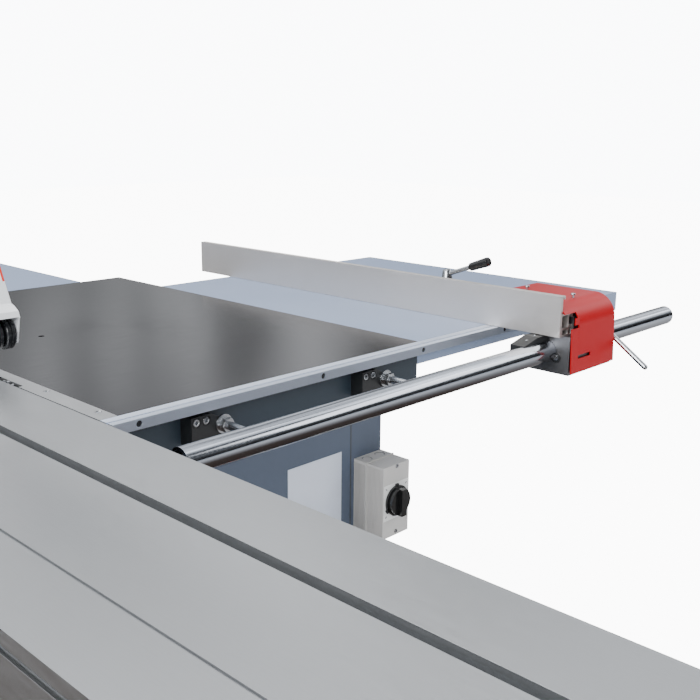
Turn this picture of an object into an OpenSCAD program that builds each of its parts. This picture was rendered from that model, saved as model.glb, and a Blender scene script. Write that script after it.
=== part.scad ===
// Sliding table saw. X runs towards the rip fence, Y along the cut, Z up.
// The origin is on the floor, below the tilt axis at the middle of the main blade.

/* [Tables] */
// Height of the tables above the floor
table_h = 850; // [820:5:900]
// Width of the cast table
cast_w = 582.5; // [560:5:640]
// Left edge of the cast table, right of the blade plane
cast_x = 25; // [25:1:30]
// Depth of the cast table along the cut
cast_d = 908; // [880:4:960]
// Front edge of the cast table, in front of the blade's centre
cast_front = 450; // [440:2:470]
// Thickness of the cast table's plate
cast_t = 20; // [16:1:22]
// Depth of the cast table's edge
cast_edge = 68; // [60:1:80]
// Width of the cast table's edge ribs
cast_rib = 12; // [8:1:16]
// Thickness of the table insert
insert_t = 8; // [6:0.5:10]
// Width of the right extension table
right_w = 680.5; // [500:10:800]
// Depth of the right extension table
right_d = 738; // [600:10:800]
// Right edge of the rear extension table
rear_x = 508; // [450:2:560]
// Depth of the rear extension table
rear_d = 600; // [450:10:700]
// Depth of the folded lip of an extension table
lip_h = 40; // [30:1:50]
// Sheet thickness of the extension tables
lip_t = 2.5; // [1.5:0.5:4]

/* [Cabinet] */
// Left wall of the cabinet
cab_left = 240; // [236:1:250]
// Right wall of the cabinet
cab_right = 544; // [530:1:580]
// Front wall of the cabinet, in front of the blade's centre
cab_front = 427; // [420:1:434]
// Rear wall of the cabinet, behind the blade's centre
cab_rear = 427; // [420:1:440]
// Sheet thickness of the cabinet
cab_t = 3; // [2:0.5:4]
// Height of the levelling feet
foot_h = 40; // [30:1:60]
// Diameter of a foot pad
foot_d = 64; // [50:1:80]
// Inset of the feet from the cabinet's corners
foot_in = 60; // [50:1:90]
// Width of the service door
door_w = 330; // [280:5:360]
// Height of the service door
door_h = 380; // [300:5:420]
// Diameter of the dust outlet
dust_d = 120; // [100:1:125]
// Length of the dust outlet's spigot
dust_l = 60; // [45:1:80]

/* [Sliding carriage] */
// Length of the carriage
slide_l = 2600; // [2000:50:3200]
// Position of the carriage's middle behind the blade's centre
slide_y = 18.5; // [0:0.5:40]
// Width of the carriage
slide_w = 309; // [300:1:330]
// Gap between the carriage and the blade plane
slide_gap = 3; // [3:0.5:5]
// Thickness of the carriage's body
slide_t = 35; // [34:1:38]
// Thickness of the carriage's lip beside the blade
lip_blade = 10; // [8:0.5:11]
// Width of the T-slot's mouth
slot_w = 14; // [12:0.5:16]
// Right edge of the T-slot, left of the blade plane
slot_x = 95.5; // [92:0.5:100]
// Width of the slide beam
beam_w = 128; // [110:1:132]
// Height of the slide beam
beam_h = 110; // [90:1:120]
// Length of the slide beam
beam_l = 2500; // [1900:50:3000]
// Length of the ball carriage between beam and table
cage_l = 720; // [500:10:900]

/* [Outrigger] */
// Reach of the outrigger frame from the carriage
out_w = 960; // [900:4:1100]
// Front edge of the outrigger frame, in front of the blade's centre
out_front = 236; // [200:2:300]
// Rear edge of the outrigger frame
out_rear = 330; // [300:2:380]
// Size of the frame's square tube
out_tube = 40; // [34:1:44]
// Length of the crosscut fence
cross_l = 1256; // [1100:2:1500]
// Height of the crosscut fence
cross_h = 62; // [50:1:80]
// Height of the swing arm's middle
arm_z = 580; // [560:1:600]
// Size of the swing arm's outer tube
arm_s = 60; // [50:1:66]

/* [Saw unit] */
// Diameter of the main blade
blade_d = 315; // [300:5:315]
// Cutting height above the table at rest
cut_h = 100; // [90:1:100]
// Width of the blade's teeth
kerf = 3.2; // [2.8:0.1:3.4]
// Diameter of the arbor in the blade
arbor_d = 30; // [25:1:30]
// Outer diameter of the arbor's bearings
bearing_d = 55; // [52:1:56]
// Diameter of the scoring blade
score_d = 100; // [90:1:100]
// Distance of the scoring blade's axis in front of the main one
score_y = 212; // [210:1:216]
// Outer radius of the tilting shoe
shoe_r = 245; // [240:1:250]
// Distance of the end plates from the blade's centre
end_y = 270; // [268:1:276]
// Diameter of the rise guide rods
guide_d = 20; // [16:1:24]
// Diameter of the motor
motor_d = 150; // [130:1:160]
// Length of the motor
motor_l = 200; // [170:5:230]
// Diameter of the handwheels
wheel_d = 160; // [140:2:166]

/* [Guard] */
// Width of the guard hood
hood_w = 40; // [38:1:46]
// Wall of the guard hood
hood_t = 2.5; // [2:0.5:3]
// Diameter of the guard rollers
roller_d = 44; // [40:1:46]
// Height of the guard rollers above the table
roller_gap = 44; // [38:1:50]

/* [Rip fence] */
// Distance of the fence face from the blade plane
fence_x = 801; // [700:1:900]
// Length of the fence profile
fence_l = 1000; // [800:10:1100]
// Height of the fence profile
fence_h = 72; // [65:1:80]
// Thickness of the fence's upright plate
fence_t = 6; // [5:0.5:8]
// Overall width of the fence profile
fence_w = 41; // [38:1:44]
// Height of the fence's lower box
fence_box = 40; // [34:1:44]
// Diameter of the guide bar
bar_d = 38; // [34:1:40]
// Height of the guide bar's axis below the tables
bar_drop = 31; // [30:1:34]
// Distance of the bar's axis from the front of the cast table
bar_out = 121; // [116:1:126]
// Left end of the guide bar
bar_left = 30; // [20:1:40]
// Length of the guide bar
bar_l = 1245; // [1150:5:1300]
// Depth of the front rail
rail_d = 28; // [24:1:32]
// Height of the front rail
rail_h = 14.6; // [12:0.2:16]
// Length of the front rail
rail_l = 1100; // [1070:5:1180]

/* [Electrics] */
// Width of the main switch box
box_w = 65; // [60:1:75]
// Height of the main switch box
box_h = 126; // [115:1:135]
// Depth of the main switch box
box_d = 65; // [58:1:72]
// Top of the main switch box
box_top = 668; // [640:1:680]
// Diameter of the rotary knob
knob_d = 52; // [48:1:58]

/* [Hidden] */
$fn = 64;

// Clearance between surfaces that rest on or pass each other
seat = 0.3;
// Radial clearance of a shaft in its hole
run = 0.05;
// Overshoot of a cutting shape
cut = 1;

cab_top = table_h - cast_t;
step_x = 158;
sill_z = table_h - 90;
cast_right = cast_x + cast_w;
cast_back = cast_d - cast_front;
arbor_z = table_h + cut_h - blade_d / 2;
beam_left = slide_gap + slide_w - 12;
beam_top = table_h - slide_t - 15.3;
step_z = beam_top - beam_h;
bar_y = -cast_front - bar_out;
bar_z = table_h - bar_drop;
head_x = fence_x + 18;
head_w = 145;

// A box from its lowest corner and its size
module box(p, s) { translate(p) cube(s); }
// Round bars along the three axes, from their start, length and radius
module round_x(p, l, r) { translate(p) rotate([0, 90, 0]) cylinder(h = l, r = r); }
module round_y(p, l, r) { translate(p) rotate([-90, 0, 0]) cylinder(h = l, r = r); }
module round_z(p, l, r) { translate(p) cylinder(h = l, r = r); }
// An outline in X and Z, extruded along Y from y0
module along_y(y0, l) { translate([0, y0 + l, 0]) rotate([90, 0, 0]) linear_extrude(l) children(); }
// An outline in Y and Z, extruded along X from x0
module along_x(x0, l) {
  translate([x0, 0, 0]) rotate([90, 0, 90]) linear_extrude(l) children();
}
// A ring sector about the tilt axis, angles from straight down towards +X
module sector(r0, r1, a0, a1) {
  n = 16;
  in_pts = [for (i = [0:n]) let (a = a0 + (a1 - a0) * i / n) [r0 * sin(a), -r0 * cos(a)]];
  out_pts = [for (i = [0:n]) let (a = a1 - (a1 - a0) * i / n) [r1 * sin(a), -r1 * cos(a)]];
  polygon(concat(in_pts, out_pts));
}
// The same with true arcs, cut from a ring by a wedge
module arc(r0, r1, a0, a1) {
  intersection() {
    difference() { circle(r1); circle(r0); }
    sector(r0 / 2, r1 * 1.4, a0, a1);
  }
}

// CABINET
door_x = 130;
door_z = 120;
dust_x = -110;
dust_z = 190;
rise_x = 75;
rise_drop = 300;
rise_r = sqrt(rise_x * rise_x + rise_drop * rise_drop);
rise_a = atan(rise_x / rise_drop);
tilt_range = 45;
shaft_r = 10;
worm_r = 11;
tilt_y = -(end_y + 24);
tilt_z = table_h - shoe_r - worm_r - 0.5;

module panel_outline() {
  polygon([[-cab_left, foot_h], [cab_right, foot_h], [cab_right, cab_top],
    [ledge_x + 2, cab_top], [ledge_x + 2, sill_z], [-step_x, sill_z],
    [-step_x, step_z], [-cab_left, step_z]]);
}
module cabinet_front() {
  color("#6e7a8c") difference() {
    along_y(-cab_front, cab_t) panel_outline();
    along_y(-cab_front - cut, cab_t + 2 * cut) translate([0, table_h]) {
      arc(rise_r - shaft_r - 6, rise_r + shaft_r + 6, rise_a - tilt_range - 4, rise_a + 4);
    }
  }
}
module cabinet_rear() {
  color("#6e7a8c") difference() {
    along_y(cab_rear - cab_t, cab_t) panel_outline();
    box([door_x, cab_rear - cab_t - cut, door_z], [door_w, cab_t + 2 * cut, door_h]);
    round_y([dust_x, cab_rear - cab_t - cut, dust_z], cab_t + 2 * cut, dust_d / 2 - 3);
  }
  color("#6e7a8c") for (z = hinge_zs) {
    round_z([hinge_x, hinge_y, z - 7], hinge_h + 14, hinge_r - run);
    for (dz = [-8, hinge_h + seat]) {
      box([hinge_x - 4, cab_rear - cut, z + dz], [8, hinge_y - cab_rear + 5 + cut, 8 - seat]);
    }
  }
}
module cabinet_sides() {
  color("#6e7a8c") {
    box([-cab_left, -cab_front + cab_t, foot_h + cab_t],
      [cab_t, cab_front + cab_rear - 2 * cab_t, step_z - foot_h - cab_t]);
  }
  color("#6e7a8c") difference() {
    box([cab_right - cab_t, -cab_front + cab_t, foot_h + cab_t],
      [cab_t, cab_front + cab_rear - 2 * cab_t, cab_top - foot_h - cab_t]);
    round_x([cab_right - cab_t - cut, tilt_y, tilt_z], cab_t + 2 * cut, shaft_r + run);
    for (i = [0:5]) {
      box([cab_right - cab_t - cut, 60, 250 + i * 22], [cab_t + 2 * cut, 180, 8]);
    }
  }
}
module cabinet_base() {
  color("#6e7a8c") difference() {
    box([-cab_left + cab_t, -cab_front + cab_t, foot_h],
      [cab_left + cab_right - 2 * cab_t, cab_front + cab_rear - 2 * cab_t, cab_t]);
    foot_places() round_z([0, 0, foot_h - cut], cab_t + 2 * cut, 6.5);
  }
}
module foot_places() {
  for (x = [-cab_left + foot_in, cab_right - foot_in]) {
    for (y = [-cab_front + foot_in, cab_rear - foot_in]) translate([x, y, 0]) children();
  }
}
module levelling_feet() {
  color("#202224") foot_places() {
    cylinder(h = 12, d = foot_d);
    cylinder(h = foot_h + 28, d = 12);
    translate([0, 0, foot_h - 9]) cylinder(h = 9, r = 11, $fn = 6);
    translate([0, 0, foot_h + cab_t]) cylinder(h = 9, r = 11, $fn = 6);
  }
}
hinge_x = door_x + door_w + 12;
hinge_y = cab_rear + 7;
hinge_h = 40;
hinge_r = 3;
hinge_zs = [door_z + 40, door_z + door_h - 80];
module service_door() {
  color("#6e7a8c") {
    box([door_x - 12, cab_rear + seat, door_z - 12], [door_w + 24 - 8, 2.5, door_h + 24]);
    for (z = hinge_zs) difference() {
      union() {
        round_z([hinge_x, hinge_y, z], hinge_h, hinge_r + 2);
        box([hinge_x - 14, cab_rear + seat, z], [12, 4, hinge_h]);
      }
      round_z([hinge_x, hinge_y, z - cut], hinge_h + 2 * cut, hinge_r);
    }
  }
}
module door_latch() {
  color("#202224") {
    round_y([door_x + 8, cab_rear + seat + 2.5 + seat, door_z + door_h / 2], 14, 17);
    box([door_x + 4, cab_rear + seat + 2.5 + seat + 14, door_z + door_h / 2 - 16], [8, 12, 32]);
  }
}
module dust_outlet() {
  color("#202224") difference() {
    union() {
      round_y([dust_x, cab_rear, dust_z], 5, dust_d / 2 + 16);
      round_y([dust_x, cab_rear, dust_z], dust_l, dust_d / 2);
    }
    round_y([dust_x, cab_rear - cut, dust_z], dust_l + 2 * cut, dust_d / 2 - 3);
  }
}

// TABLES
slot_front = -244;
slot_back = 252;
slot_edge = 6;
ledge_x = 10;
insert_left = 1;
insert_screw_x = ledge_x + 6;
insert_screw_ys = [-420, -290, 290, 430];
screw_r = 2.2;
module cast_table() {
  y0 = -cast_front;
  color("#6a6663") difference() {
    union() {
      box([cast_x, y0, table_h - cast_t], [cast_w, cast_d, cast_t]);
      box([ledge_x, y0, table_h - cast_t], [cast_x - ledge_x + cut, cast_d, cast_t - insert_t]);
      for (y = [y0, cast_back - cast_rib]) {
        box([cast_x, y, table_h - cast_edge], [cast_w, cast_rib, cast_edge - cut]);
      }
      box([cast_right - cast_rib, y0, table_h - cast_edge], [cast_rib, cast_d, cast_edge - cut]);
    }
    for (y = insert_screw_ys) {
      round_z([insert_screw_x, y, table_h - cast_t - cut], cast_t + 2 * cut, screw_r + run);
    }
    round_z([175, 19, table_h - cast_t - cut], cast_t + 2 * cut, 5);
  }
}
module table_insert() {
  color("#c9cbcc") difference() {
    box([-insert_left, -cast_front, table_h - insert_t], [cast_x + insert_left - seat, cast_d, insert_t]);
    box([-insert_left - cut, slot_front, table_h - insert_t - cut],
      [insert_left + slot_edge + cut, slot_back - slot_front, insert_t + 2 * cut]);
    for (y = insert_screw_ys) {
      round_z([insert_screw_x, y, table_h - insert_t - cut], insert_t + 2 * cut, screw_r + 0.3);
      round_z([insert_screw_x, y, table_h - 3], 3 + cut, screw_r * 2 + 0.3);
    }
  }
}
// A sheet table with a folded lip all round
module tray(p, s) {
  difference() {
    box(p, s);
    box([p[0] + lip_t, p[1] + lip_t, p[2] - cut],
      [s[0] - 2 * lip_t, s[1] - 2 * lip_t, s[2] - lip_t + cut]);
  }
}
module rear_table() {
  color("#aeb8c6") tray([cast_x, cast_back + seat, table_h - lip_h], [rear_x - cast_x, rear_d, lip_h]);
}
module right_table() {
  color("#aeb8c6") tray([cast_right, -cast_front, table_h - lip_h], [right_w, right_d, lip_h]);
}
strut_s = 25;
strut_low = 330;
strut_ys = [100, 230];
strut_xs = [110, 420];
strut_reach = 0.8;
module strut(reach) {
  along_y(-strut_s / 2, strut_s) {
    polygon([[0, -strut_low], [0, -strut_low + strut_s * 1.5], [reach - strut_s * 2, 0],
      [reach, 0], [reach, -6], [strut_s, -strut_low]]);
  }
}
module table_struts() {
  top = table_h - lip_t - seat;
  color("#3c4650") {
    for (y = strut_ys) translate([cab_right, y, top]) strut(right_w * strut_reach);
    for (x = strut_xs) translate([x, cab_rear, top]) rotate([0, 0, 90]) strut(rear_d * strut_reach);
  }
}
rail_screw_xs = [38, 358, 590, 823, 1055];
rail_z = table_h - rail_h;
module front_rail() {
  color("#c4c7ca") difference() {
    box([0, -cast_front - rail_d, rail_z], [rail_l, rail_d, rail_h - 0.4]);
    box([-cut, -cast_front - rail_d * 0.62, table_h - 3], [rail_l + 2 * cut, 3, 4]);
    for (x = rail_screw_xs) {
      round_y([x, -cast_front - rail_d - cut, rail_z + rail_h / 2], rail_d + 2 * cut, 8.4 * shank + run);
      round_y([x, -cast_front - rail_d - cut, rail_z + rail_h / 2], 8 + cut, 4.4);
    }
  }
}
bracket_w = 66;
bracket_low = 30;
bracket_d = 25;
bracket_xs = [119, 446];
bracket_screw_dxs = [8, 24];
bracket_screw_z = bar_z + 3;
bracket_screw_d = 10;
bracket_screw_h = 8;
stud_in = 52;
stud_z = bar_z - 7;
shank = 0.25;
module socket_screw(d, head, l) {
  rotate([-90, 0, 0]) difference() {
    union() {
      cylinder(h = head, d = d);
      cylinder(h = l, r = d * shank);
    }
    translate([0, 0, -cut]) cylinder(h = head * 0.6 + cut, r = d * 0.29, $fn = 6);
  }
}
module socket_screws() {
  color("#c9ccd0") {
    for (x = rail_screw_xs) {
      translate([x, -cast_front - rail_d + 2, rail_z + rail_h / 2]) socket_screw(8.4, 5.5, rail_d - 3);
    }
    for (x = bracket_xs, dx = bracket_screw_dxs) {
      translate([x + dx, -cast_front - bracket_d, bracket_screw_z]) {
        socket_screw(bracket_screw_d, bracket_screw_h, bracket_d);
      }
    }
    for (y = insert_screw_ys) {
      translate([insert_screw_x, y, table_h - 0.6]) rotate([-90, 0, 0]) socket_screw(screw_r * 4, 2.4, 12);
    }
  }
}
module bar_brackets() {
  color("#1e2022") for (x = bracket_xs) difference() {
    along_y(-cast_front - bracket_d, bracket_d) {
      polygon([[x, bar_z + 10.5], [x, bar_z - bracket_low], [x + bracket_w, bar_z - bracket_low],
        [x + bracket_w, bar_z - 6], [x + bracket_w - 35, bar_z + 11.5]]);
    }
    for (dx = bracket_screw_dxs) translate([x + dx, -cast_front - bracket_d - cut, bracket_screw_z]) {
      round_y([0, 0, 0], bracket_d + 2 * cut, bracket_screw_d * shank + run);
      round_y([0, 0, 0], bracket_screw_h + cut, bracket_screw_d / 2 + 1.5);
    }
    round_y([x + stud_in, -cast_front - bracket_d - cut, stud_z], bracket_d + 2 * cut, 6 + run);
  }
}
module bar_studs() {
  y1 = -cast_front - bracket_d;
  gap = bar_out - bracket_d - bar_d / 2;
  color("#b9bcc0") for (x = bracket_xs) translate([x + stud_in, 0, stud_z]) {
    round_y([0, bar_y + bar_d / 2 - 10, 0], bar_out - bar_d / 2 + 9, 6);
    round_y([0, y1 - 3, 0], 3, 13.5);
    translate([0, y1 - 3, 0]) rotate([90, 0, 0]) cylinder(h = 10, r = 10.5, $fn = 6);
    translate([0, y1 - gap + 0.4, 0]) rotate([-90, 0, 0]) cylinder(h = 10, r = 9, $fn = 6);
  }
}
module fence_bar() {
  color("#b4b6ba") difference() {
    union() {
      round_x([bar_left, bar_y, bar_z], bar_l - 4, bar_d / 2);
      translate([bar_left + bar_l - 4, bar_y, bar_z]) rotate([0, 90, 0]) {
        cylinder(h = 4, r1 = bar_d / 2, r2 = bar_d / 2 - 3.5);
      }
    }
    round_x([bar_left - cut, bar_y, bar_z], 40 + cut, bar_d / 2 - 4);
    for (x = bracket_xs) {
      round_y([x + stud_in, bar_y + bar_d / 2 - 11, stud_z], bar_d, 6 + run);
    }
  }
}

// RIP FENCE
arm_x = fence_x + fence_w + seat;
arm_w = 55;
arm_top = 33;
head_front = 44.7;
head_low = 38;
cover_h = 58;
cover_back = 453;
lever_y = bar_y + 9;
lever_z = bar_z + 43;
clamp_y = -304;
cover_lean = 3.5;
module fence_head() {
  bore_r = bar_d / 2 + seat;
  arm_low = table_h + 3;
  color("#55565a") difference() {
    union() {
      box([head_x, bar_y - head_front, bar_z - head_low], [head_w, head_front + 34, bar_drop + head_low]);
      box([arm_x, bar_y - head_front + 9, table_h - cut],
        [head_x + head_w - arm_x, head_front + 25, arm_top + cut]);
      box([arm_x, bar_y - cut, arm_low], [arm_w, clamp_y + 20 - bar_y, arm_top - 3]);
    }
    round_x([head_x - cut, bar_y, bar_z], head_w + 2 * cut, bore_r);
    box([head_x - cut, bar_y, bar_z - 19], [head_w + 2 * cut, 60, 38]);
    round_x([head_x + head_w - 40, lever_y, lever_z], 60, 8 + run);
    round_z([arm_x + arm_w / 2, clamp_y, arm_low - cut], 60, 5 + run);
  }
}
module fence_cover() {
  r = 42;
  t = 2;
  x0 = arm_x;
  l = head_x + head_w + t + seat - x0;
  y0 = bar_y - head_front - t - seat;
  z0 = bar_z - head_low + 4;
  z1 = table_h + cover_h;
  zr = z1 - r;
  tongue_x = fence_x + fence_t + seat;
  tongue_z = table_h + fence_box + 2 * seat;
  color("#d40010") difference() {
    union() {
      along_x(x0, l) cover_outline(y0, z0, z1, r);
      along_x(head_x, x0 - head_x + cut) {
        polygon([[y0 - cover_lean, z0], [y0 - cover_lean + t, z0], [y0 + t, zr - 2], [y0, zr - 2]]);
      }
      along_x(tongue_x, x0 - tongue_x + cut) intersection() {
        cover_outline(y0, z0, z1, r);
        translate([y0, tongue_z]) square([-y0, z1 - tongue_z]);
      }
      box([head_x + 11, y0, zr + 4], [x0 - head_x - 11 + cut, t, 12]);
    }
    along_x(tongue_x - cut, head_x + head_w + seat - tongue_x + cut) {
      offset_outline(y0 + t, z0 - cut, z1 - t, r - t);
    }
    box([head_x + 22, y0 - cover_lean - cut, z0 + 24], [42, cover_lean + t + 2 * cut, 6.5]);
    round_x([head_x + head_w, lever_y, lever_z], 20, 8.5);
    box([x0 - cut, bar_y - bar_d / 2 - 1, z0 - cut], [l + 2 * cut, 200, bar_z + bar_d / 2 + 3 - z0]);
    box([x0 - cut, -cast_front - rail_d - 6, z0 - cut], [l + 2 * cut, 200, table_h + 4 - z0]);
  }
}
module cover_outline(y0, z0, z1, r) {
  union() {
    polygon([[y0 - cover_lean, z0], [y0 + 60, z0], [y0 + 60, z1 - r], [y0, z1 - r]]);
    translate([y0 + r, z1 - r]) intersection() { circle(r); translate([-r, 0]) square(r); }
    polygon([[y0 + r, z1 - r - 1], [-cover_back + 3, z1 - r - 1], [-cover_back + 3, z1], [y0 + r, z1]]);
  }
}
module offset_outline(y0, z0, z1, r) {
  polygon([[y0 - cover_lean, z0], [-cover_back + 9, z0], [-cover_back + 9, z1 - r], [y0, z1 - r]]);
  translate([y0 + r, z1 - r]) intersection() { circle(r); translate([-r, -1]) square([r, r + 1]); }
  polygon([[y0 + r - 0.5, z1 - r - 1], [-cover_back + 9, z1 - r - 1], [-cover_back + 9, z1],
    [y0 + r - 0.5, z1]]);
}
module bar_slider() {
  l = 77;
  top = bar_d / 2 + 11;
  color("#141416") difference() {
    along_y(bar_y - 3, 29) polygon([[head_x - l, bar_z + 6], [head_x, bar_z + 6], [head_x, bar_z + top],
      [head_x - 35, bar_z + top], [head_x - l, bar_z + bar_d / 2 + 1]]);
    round_x([head_x - l - cut, bar_y, bar_z], l + 2 * cut, bar_d / 2 + seat);
  }
}
module fence_profile() {
  z0 = table_h + seat;
  y0 = bar_y - 33.5;
  web = 3;
  hook = 13;
  right = fence_w - 4;
  mid = fence_w - 15;
  color("#c3bfbb") translate([fence_x, 0, z0]) difference() {
    union() {
      box([0, y0, 0], [fence_t, fence_l, fence_h]);
      box([0, y0, fence_h - web], [hook, fence_l, web]);
      box([hook - web, y0, fence_h - 2 * web], [web, fence_l, web + cut]);
      box([0, y0, 0], [fence_w, fence_l, fence_box]);
    }
    translate([0, y0 - cut, 0]) {
      box([fence_t, 0, 15.5], [mid - fence_t, fence_l + 2 * cut, fence_box - web - 15.5]);
      box([mid + web, 0, 19], [right - mid - web, fence_l + 2 * cut, fence_box - web - 19]);
      box([right - cut, 0, 19], [10, fence_l + 2 * cut, fence_box - 8 - 19]);
      box([fence_t + web, 0, web], [mid - fence_t - web, fence_l + 2 * cut, 9]);
      box([mid + web, 0, web], [right - mid - web, fence_l + 2 * cut, 9]);
    }
  }
}
module fence_clamp() {
  z0 = table_h + arm_top + seat;
  x = arm_x + arm_w / 2;
  color("#9a9da1") {
    round_z([x, clamp_y, z0 - 26], 46, 5);
    translate([x, clamp_y, z0]) cylinder(h = table_h + 78 - z0, r1 = 13, r2 = 8);
    translate([x, clamp_y, table_h + 68]) rotate([70, 0, 0]) cylinder(h = 62, r = 4.5);
    translate([x, clamp_y, table_h + 68]) rotate([70, 0, 0]) translate([0, 0, 60]) {
      cylinder(h = 46, r1 = 8, r2 = 9.5);
    }
  }
}
module bar_lever() {
  x = head_x + head_w + 14;
  l = 148;
  color("#c9ccd0") {
    round_x([head_x + head_w - 38, lever_y, lever_z], 58, 8);
    translate([x, lever_y, lever_z]) rotate([124.9, 0, 0]) cylinder(h = l - 5, r = 5);
    translate([x, lever_y, lever_z]) rotate([124.9, 0, 0]) translate([0, 0, l - 5]) sphere(r = 5);
  }
}

// SLIDING CARRIAGE
slide_left = -slide_gap - slide_w;
slot_depth = 16;
slot_lip = 6.5;
slot_side = 5;
mount_w = 60;
mount_h = 150;
mount_ys = [-300, 240];
module beam_mounts() {
  x0 = -beam_left;
  color("#3c4650") for (y = mount_ys) {
    along_y(y, mount_w) polygon([[x0 + 10, step_z], [-cab_left, step_z],
      [-cab_left, step_z - mount_h], [x0 + 10, step_z - 20]]);
  }
}
module slide_beam() {
  x0 = -beam_left;
  color("#9a9ea3") difference() {
    union() {
      box([x0, -beam_l / 2, beam_top - beam_h], [beam_w, beam_l, beam_h]);
      for (x = [x0 + 8, x0 + beam_w - 24]) box([x, -beam_l / 2, beam_top - cut], [16, beam_l, 1.7]);
    }
    for (x = [x0 + 8, x0 + beam_w / 2 + 4]) {
      box([x, -beam_l / 2 - cut, beam_top - beam_h + 8],
        [beam_w / 2 - 12, beam_l + 2 * cut, beam_h - 16]);
    }
  }
}
ball_r = 7;
module ball_carriage() {
  x0 = -beam_left;
  zm = beam_top + 0.7 + ball_r + seat;
  color("#b08d57") {
    box([x0 + 2, -cage_l / 2, zm - 3], [beam_w - 4, cage_l, 6]);
    for (x = [x0 + 16, x0 + beam_w - 16], i = [0:7]) {
      translate([x, -cage_l / 2 + cage_l * (i + 0.5) / 8, zm]) sphere(r = ball_r);
    }
  }
}
module sliding_carriage() {
  x0 = slide_left;
  x1 = -slide_gap;
  body_x = 80;
  zt = table_h;
  zb = table_h - slide_t;
  skirt_z = beam_top - 30;
  color("#b4b7ba") along_y(slide_y - slide_l / 2, slide_l) difference() {
    polygon([[x0, zt], [x1, zt], [x1, zt - 0.4], [x1 - lip_blade - 1, zt - lip_blade],
      [-body_x, zt - lip_blade], [-body_x - 10, zb], [-beam_left + beam_w + 10, zb],
      [-beam_left + beam_w + 10, skirt_z], [-beam_left + beam_w + 4, skirt_z],
      [-beam_left + beam_w + 4, zb], [-beam_left - 4, zb], [-beam_left - 4, skirt_z], [x0, skirt_z]]);
    translate([-slot_x - slot_w, zt - slot_lip - cut]) square([slot_w, slot_lip + 2 * cut]);
    translate([-slot_x - slot_w - slot_side, zt - slot_depth]) {
      square([slot_w + 2 * slot_side, slot_depth - slot_lip]);
    }
    translate([-235, zt - 2.5]) square([3, 4]);
    translate([-130, zt - 29]) square([14, 9]);
    translate([-225, zt - 29]) square([88, 23]);
    translate([-302, zt - 29]) square([62, 23]);
    translate([x0 - 1, zt - 22]) square([6, 8]);
    translate([x0 + 4, zt - 25]) square([4, 14]);
  }
}
module end_caps() {
  x0 = slide_left;
  t = 8;
  color("#202224") translate([0, slide_y, 0]) {
    for (y = [-slide_l / 2 - t, slide_l / 2]) difference() {
      box([x0, y, table_h - slide_t], [slide_w - 82, t, slide_t - 0.5]);
      box([-slot_x - slot_w - slot_side - 2, y - cut, table_h - slot_depth - 1],
        [60, t + 2 * cut, slot_depth + 2]);
    }
    round_z([x0 + 110, -slide_l / 2 - 30, table_h - slide_t], 30 + slide_t + 100, 15);
    box([x0 + 95, -slide_l / 2 - 32, table_h - slide_t], [30, 32, slide_t - 2]);
  }
}

// OUTRIGGER
out_left = slide_left - out_w;
module outrigger_frame() {
  s = out_tube;
  z = table_h - s - 0.5;
  d = out_front + out_rear;
  n = 5;
  color("#aeb8c6") {
    for (y = [-out_front, out_rear - s]) box([out_left, y, z], [out_w - seat, s, s]);
    for (i = [0:n]) {
      box([out_left + (out_w - seat - s) * i / n, -out_front + s - cut, z], [s, d - 2 * s + 2 * cut, s]);
    }
    for (y = [-out_front + 60, out_rear - 120]) {
      box([slide_left - cut, y, table_h - 21], [6 + cut, 60, 6]);
      box([slide_left + 4.5, y, table_h - 24], [3, 60, 12]);
    }
  }
}
cross_y = 270;
pivot_x = -slot_x - slot_w / 2;
stop_x = -700;
stop_z = table_h + seat + cross_h + 14;
stop_pin = 4;
module crosscut_fence() {
  right = -hood_w / 2 - 12;
  z0 = table_h + seat;
  color("#c3bfbb") difference() {
    union() {
      box([right - cross_l, cross_y, z0], [cross_l, 34, cross_h]);
      round_z([pivot_x, cross_y + 17, table_h - slot_lip - cut], slot_lip + 2 * cut, slot_w / 2 - seat);
      round_z([pivot_x, cross_y + 17, table_h - slot_depth + seat], slot_depth - slot_lip - 2 * seat,
        slot_w / 2 + slot_side - seat);
    }
    box([right - cross_l - cut, cross_y + 4, z0 + 4], [cross_l + 2 * cut, 22, cross_h - 24]);
    box([right - cross_l - cut, cross_y + 11, z0 + cross_h - 8], [cross_l + 2 * cut, 12, 9]);
    box([right - cross_l - cut, cross_y + 7, z0 + cross_h - 15], [cross_l + 2 * cut, 20, 8]);
  }
  color("#202224") {
    round_x([stop_x - 22, cross_y + 17, stop_z], 44, stop_pin);
    for (x = [stop_x - 15 - seat - 8, stop_x + 15 + seat]) {
      box([x, cross_y + 8, z0 + cross_h - 2], [8, 18, 24]);
    }
  }
}
module flip_stop() {
  color("#202224") difference() {
    union() {
      box([stop_x - 15, cross_y - 10, table_h + 8], [30, 9.5, cross_h + 8]);
      box([stop_x - 15, cross_y - 10, stop_z - 9], [30, 27, 18]);
      round_x([stop_x - 15, cross_y + 17, stop_z], 30, 9);
    }
    round_x([stop_x - 16, cross_y + 17, stop_z], 32, stop_pin + run);
  }
}
pivot_ax = -cab_left - 45;
module arm_bracket() {
  color("#3c4650") {
    box([-cab_left - 10, -50, arm_z - arm_s / 2 - 20], [10, 100, arm_s + 40]);
    for (z = [arm_z - arm_s / 2 - 12 - seat, arm_z + arm_s / 2 + seat]) {
      round_z([pivot_ax, 0, z], 12, 28);
      box([pivot_ax, -28, z], [40, 56, 12]);
    }
    round_z([pivot_ax, 0, arm_z - arm_s / 2 - 8], arm_s + 16, 12);
  }
}
arm_l = 890;
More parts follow.
